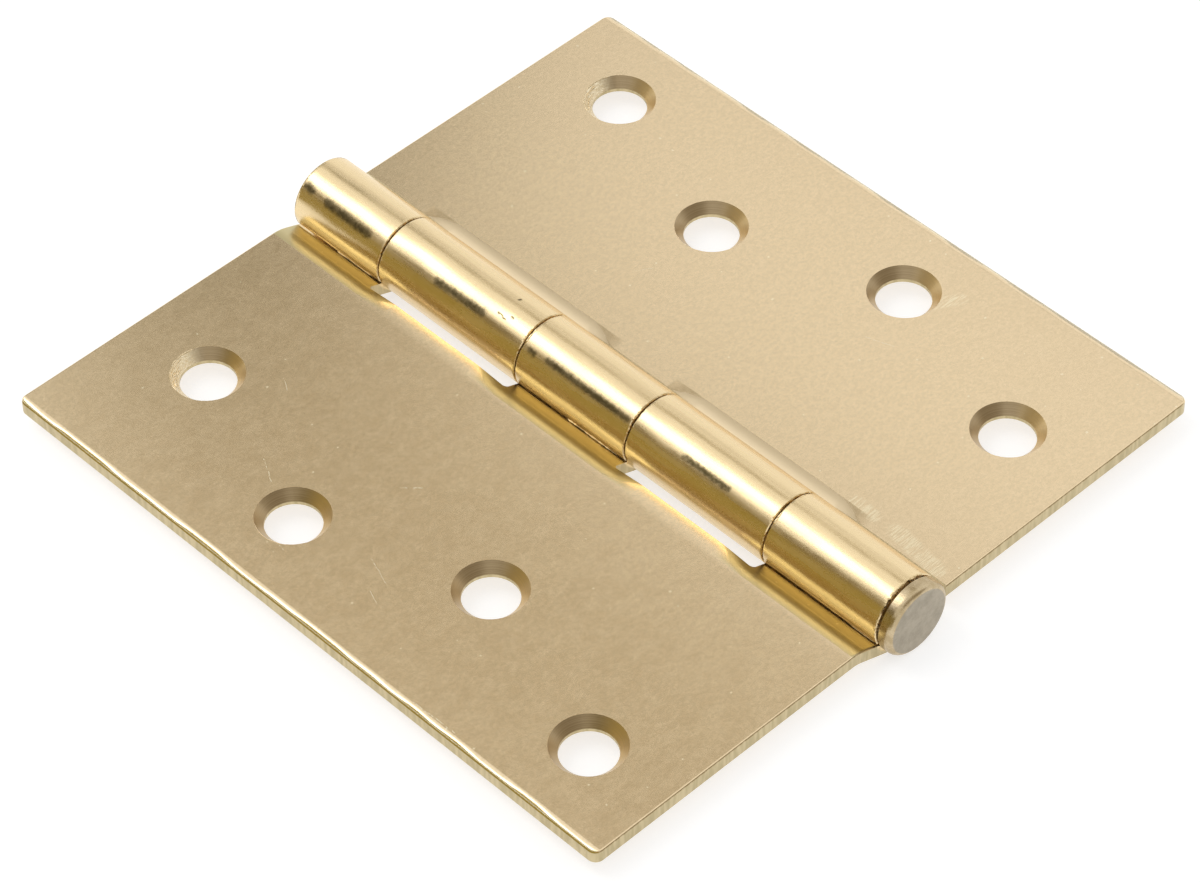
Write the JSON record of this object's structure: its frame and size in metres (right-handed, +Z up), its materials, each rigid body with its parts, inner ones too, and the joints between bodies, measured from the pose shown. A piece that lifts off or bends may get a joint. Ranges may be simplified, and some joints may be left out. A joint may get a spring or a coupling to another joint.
{
  "type": "full mortise hinge",
  "caption": "Full mortise butt hinge of folded sheet metal in a satin brass finish: countersunk leaves with interleaved knuckles that turn on a headed pin, lying open flat.",
  "frame": {"origin": "under the middle of the hinge's length, on the plane that the barrel lies on, below the pin's axis", "axes": "X across the two leaves with the three-knuckle leaf at -X, Y along the pin with its head at -Y, Z up, out of the face that shows the countersinks"},
  "size_m": [0.1016, 0.1038, 0.0103],
  "materials": {
    "satin_brass_plate": "satin brass plating on steel sheet, finely brushed",
    "pin_metal": "satin plated steel, polished at the rim of the head"
  },
  "bodies": {
    "three_knuckle_leaf": {"three_knuckle_leaf": "satin_brass_plate"},
    "two_knuckle_leaf": {"two_knuckle_leaf": "satin_brass_plate"},
    "hinge_pin": {"hinge_pin": "pin_metal"}
  },
  "joints": [
    {"name": "leaf_fold", "type": "hinge", "parent": "three_knuckle_leaf", "child": "two_knuckle_leaf", "pos_m": [0, 0.0011, 0.00515], "axis": [0, -1, 0], "range_deg": [-110, 180]},
    {"name": "pin_draw", "type": "slide", "parent": "three_knuckle_leaf", "child": "hinge_pin", "axis": [0, -1, 0], "range_m": [-0.0003, 0.105]}
  ]
}
